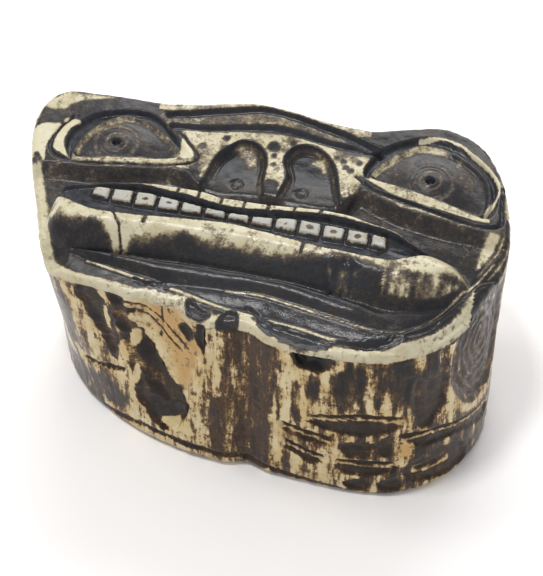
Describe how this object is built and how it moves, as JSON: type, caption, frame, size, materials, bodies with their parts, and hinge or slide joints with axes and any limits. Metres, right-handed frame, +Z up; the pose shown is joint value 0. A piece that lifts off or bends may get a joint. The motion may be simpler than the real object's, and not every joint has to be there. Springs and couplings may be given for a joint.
{
  "type": "ivory carving",
  "caption": "Short block of tusk whose upper end is carved as a broad animal face with almond eyes, arched nostrils and a wide toothed mouth; it stands on its flat sawn base.",
  "frame": {"origin": "on the flat sawn base, at the middle of the carved face in plan", "axes": "+X along the mouth to the carving's right as the picture shows it, -Y towards the chin, +Z up from the base to the face"},
  "size_m": [0.0663, 0.037, 0.0355],
  "materials": {
    "ivory": "polished old ivory, cream on the worn high places, dark brown to black patina in the cuts and down the grain of the wall"
  },
  "bodies": {
    "root": {"carved_tusk": "ivory"}
  },
  "joints": []
}
